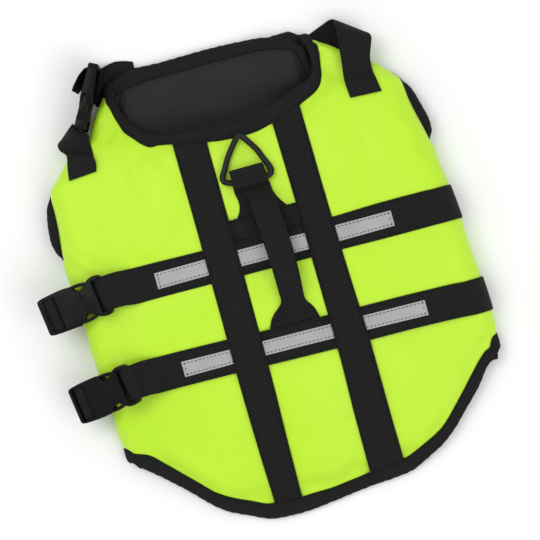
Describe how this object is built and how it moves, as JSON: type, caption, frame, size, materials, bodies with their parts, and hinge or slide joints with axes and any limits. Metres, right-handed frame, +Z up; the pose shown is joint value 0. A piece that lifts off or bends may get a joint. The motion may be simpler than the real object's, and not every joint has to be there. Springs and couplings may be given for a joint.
{
  "type": "dog life jacket",
  "caption": "Foam-filled dog life jacket laid flat on its belly, buckled, with a grab handle, a lead ring and reflective tape along its belts.",
  "frame": {"origin": "on the table under the middle of the back, where the belly panel rests", "axes": "+Y towards the dog's head, +X to the right seen from above, +Z up out of the back"},
  "size_m": [0.3792, 0.423, 0.0611],
  "materials": {
    "coated_nylon": "fluorescent yellow-green, slight sheen",
    "binding_tape": "black woven tape",
    "webbing": "black ribbed webbing",
    "lining": "black plain weave",
    "reflective_tape": "light grey reflective",
    "black_plastic": "satin moulded plastic",
    "black_metal": "black painted wire"
  },
  "bodies": {
    "jacket": {"armhole_binding_left": "binding_tape", "armhole_binding_right": "binding_tape", "back_panel": "coated_nylon", "back_strap_left": "webbing", "back_strap_right": "webbing", "belly_hem_binding": "binding_tape", "belly_panel": "coated_nylon", "belt_front": "webbing", "belt_rear": "webbing", "buckle_front_plug": "black_plastic", "buckle_front_socket": "black_plastic", "buckle_neck_plug": "black_plastic", "buckle_neck_socket": "black_plastic", "buckle_rear_plug": "black_plastic", "buckle_rear_socket": "black_plastic", "chest_lining": "lining", "chest_tab": "webbing", "cross_band": "webbing", "grab_handle": "webbing", "hem_binding": "binding_tape", "neck_binding": "binding_tape", "neck_strap_left": "webbing", "neck_strap_right": "webbing", "reflective_strip_front": "reflective_tape", "reflective_strip_rear": "reflective_tape"},
    "ring": {"lead_ring": "black_metal"}
  },
  "joints": [
    {"name": "ring_swing", "type": "hinge", "parent": "jacket", "child": "ring", "pos_m": [0.0065, 0.10605, 0.04659], "axis": [0.9957, -0.0924, 0], "range_deg": [0, 150]}
  ]
}
